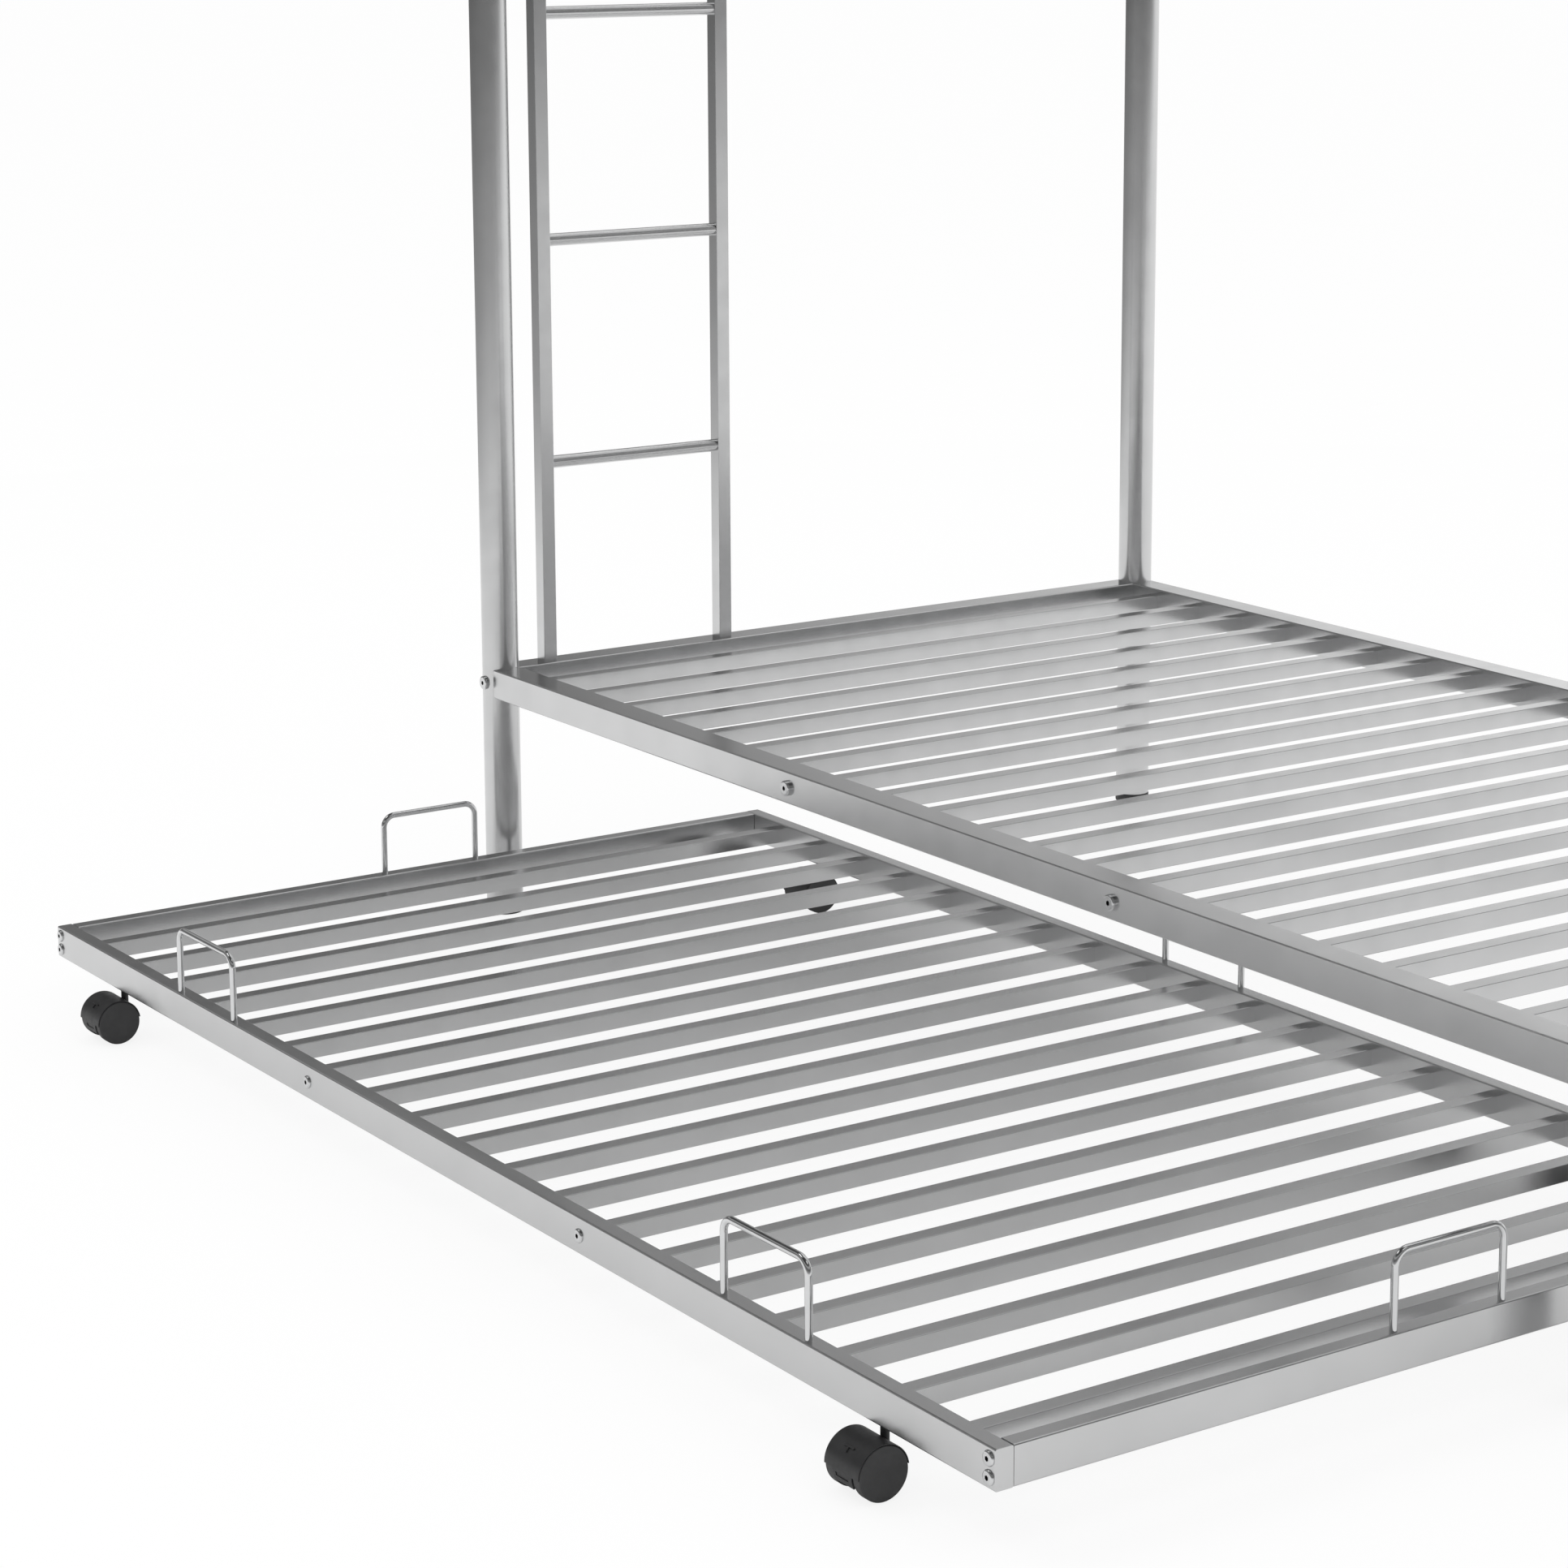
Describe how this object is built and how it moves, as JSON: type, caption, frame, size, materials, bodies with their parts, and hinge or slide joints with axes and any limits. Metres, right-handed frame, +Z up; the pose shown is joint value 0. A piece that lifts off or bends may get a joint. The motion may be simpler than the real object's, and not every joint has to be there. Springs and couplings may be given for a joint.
{
  "type": "bunk bed with trundle",
  "caption": "Steel tube twin bunk bed with slatted decks, an end ladder and guard rails, over a low slatted trundle that rolls out on hooded twin-wheel casters.",
  "frame": {"origin": "on the floor, in the middle of the bed's box with the trundle pulled out", "axes": "+X along the bed to the end without the ladder, +Y from the trundle's front to the back of the bunk, +Z up"},
  "size_m": [1.955, 1.6764, 1.688],
  "materials": {
    "silver_paint": "satin silver powder coat",
    "bright_wire": "bright plated wire",
    "axle_steel": "plain steel pin",
    "hood_black": "moulded black nylon",
    "wheel_black": "moulded black nylon",
    "socket_grey": "moulded grey bush",
    "cap_black": "moulded black plug"
  },
  "bodies": {
    "bunk_frame": {"foot_plug_back_left": "cap_black", "foot_plug_back_right": "cap_black", "foot_plug_front_left": "cap_black", "foot_plug_front_right": "cap_black", "guard_back": "silver_paint", "guard_front": "silver_paint", "guard_left": "silver_paint", "guard_right": "silver_paint", "ladder_rung_1": "silver_paint", "ladder_rung_2": "silver_paint", "ladder_rung_3": "silver_paint", "ladder_stile_back": "silver_paint", "ladder_stile_front": "silver_paint", "lower_back_rail_with_slats": "silver_paint", "lower_front_rail": "silver_paint", "lower_left_rail": "silver_paint", "lower_right_rail": "silver_paint", "post_back_left": "silver_paint", "post_back_right": "silver_paint", "post_front_left": "silver_paint", "post_front_right": "silver_paint", "top_cap_back_left": "cap_black", "top_cap_back_right": "cap_black", "top_cap_front_left": "cap_black", "top_cap_front_right": "cap_black", "upper_back_rail_with_slats": "silver_paint", "upper_front_rail": "silver_paint", "upper_left_rail": "silver_paint", "upper_right_rail": "silver_paint"},
    "trundle": {"caster_socket_back_left": "socket_grey", "caster_socket_back_right": "socket_grey", "caster_socket_front_left": "socket_grey", "caster_socket_front_right": "socket_grey", "mattress_hoop_back": "bright_wire", "mattress_hoop_front_left": "bright_wire", "mattress_hoop_front_right": "bright_wire", "mattress_hoop_left_end": "bright_wire", "mattress_hoop_right_end": "bright_wire", "trundle_back_rail_with_slats": "silver_paint", "trundle_front_rail": "silver_paint", "trundle_left_rail": "silver_paint", "trundle_right_rail": "silver_paint"},
    "caster_front_left": {"caster_hood_front_left": "hood_black", "caster_axle_front_left": "axle_steel"},
    "wheel_front_left_outer": {"caster_wheel_front_left_outer": "wheel_black"},
    "wheel_front_left_inner": {"caster_wheel_front_left_inner": "wheel_black"},
    "caster_front_right": {"caster_hood_front_right": "hood_black", "caster_axle_front_right": "axle_steel"},
    "wheel_front_right_outer": {"caster_wheel_front_right_outer": "wheel_black"},
    "wheel_front_right_inner": {"caster_wheel_front_right_inner": "wheel_black"},
    "caster_back_left": {"caster_hood_back_left": "hood_black", "caster_axle_back_left": "axle_steel"},
    "wheel_back_left_outer": {"caster_wheel_back_left_outer": "wheel_black"},
    "wheel_back_left_inner": {"caster_wheel_back_left_inner": "wheel_black"},
    "caster_back_right": {"caster_hood_back_right": "hood_black", "caster_axle_back_right": "axle_steel"},
    "wheel_back_right_outer": {"caster_wheel_back_right_outer": "wheel_black"},
    "wheel_back_right_inner": {"caster_wheel_back_right_inner": "wheel_black"}
  },
  "joints": [
    {"name": "trundle_slide", "type": "slide", "parent": "bunk_frame", "child": "trundle", "axis": [0, 1, 0], "range_m": [-0.368, 0.5935]},
    {"name": "caster_front_left_swivel", "type": "hinge", "parent": "trundle", "child": "caster_front_left", "pos_m": [-0.7411, -0.79455, 0.056], "axis": [0, 0, 1], "continuous": true},
    {"name": "wheel_front_left_outer_spin", "type": "hinge", "parent": "caster_front_left", "child": "wheel_front_left_outer", "pos_m": [-0.7411, -0.81255, 0.024], "axis": [1, 0, 0], "continuous": true},
    {"name": "wheel_front_left_inner_spin", "type": "hinge", "parent": "caster_front_left", "child": "wheel_front_left_inner", "pos_m": [-0.7411, -0.81255, 0.024], "axis": [1, 0, 0], "continuous": true},
    {"name": "caster_front_right_swivel", "type": "hinge", "parent": "trundle", "child": "caster_front_right", "pos_m": [0.7411, -0.79455, 0.056], "axis": [0, 0, 1], "continuous": true},
    {"name": "wheel_front_right_outer_spin", "type": "hinge", "parent": "caster_front_right", "child": "wheel_front_right_outer", "pos_m": [0.7411, -0.81255, 0.024], "axis": [1, 0, 0], "continuous": true},
    {"name": "wheel_front_right_inner_spin", "type": "hinge", "parent": "caster_front_right", "child": "wheel_front_right_inner", "pos_m": [0.7411, -0.81255, 0.024], "axis": [1, 0, 0], "continuous": true},
    {"name": "caster_back_left_swivel", "type": "hinge", "parent": "trundle", "child": "caster_back_left", "pos_m": [-0.7411, 0.14885, 0.056], "axis": [0, 0, 1], "continuous": true},
    {"name": "wheel_back_left_outer_spin", "type": "hinge", "parent": "caster_back_left", "child": "wheel_back_left_outer", "pos_m": [-0.7411, 0.13085, 0.024], "axis": [1, 0, 0], "continuous": true},
    {"name": "wheel_back_left_inner_spin", "type": "hinge", "parent": "caster_back_left", "child": "wheel_back_left_inner", "pos_m": [-0.7411, 0.13085, 0.024], "axis": [1, 0, 0], "continuous": true},
    {"name": "caster_back_right_swivel", "type": "hinge", "parent": "trundle", "child": "caster_back_right", "pos_m": [0.7411, 0.14885, 0.056], "axis": [0, 0, 1], "continuous": true},
    {"name": "wheel_back_right_outer_spin", "type": "hinge", "parent": "caster_back_right", "child": "wheel_back_right_outer", "pos_m": [0.7411, 0.13085, 0.024], "axis": [1, 0, 0], "continuous": true},
    {"name": "wheel_back_right_inner_spin", "type": "hinge", "parent": "caster_back_right", "child": "wheel_back_right_inner", "pos_m": [0.7411, 0.13085, 0.024], "axis": [1, 0, 0], "continuous": true}
  ]
}
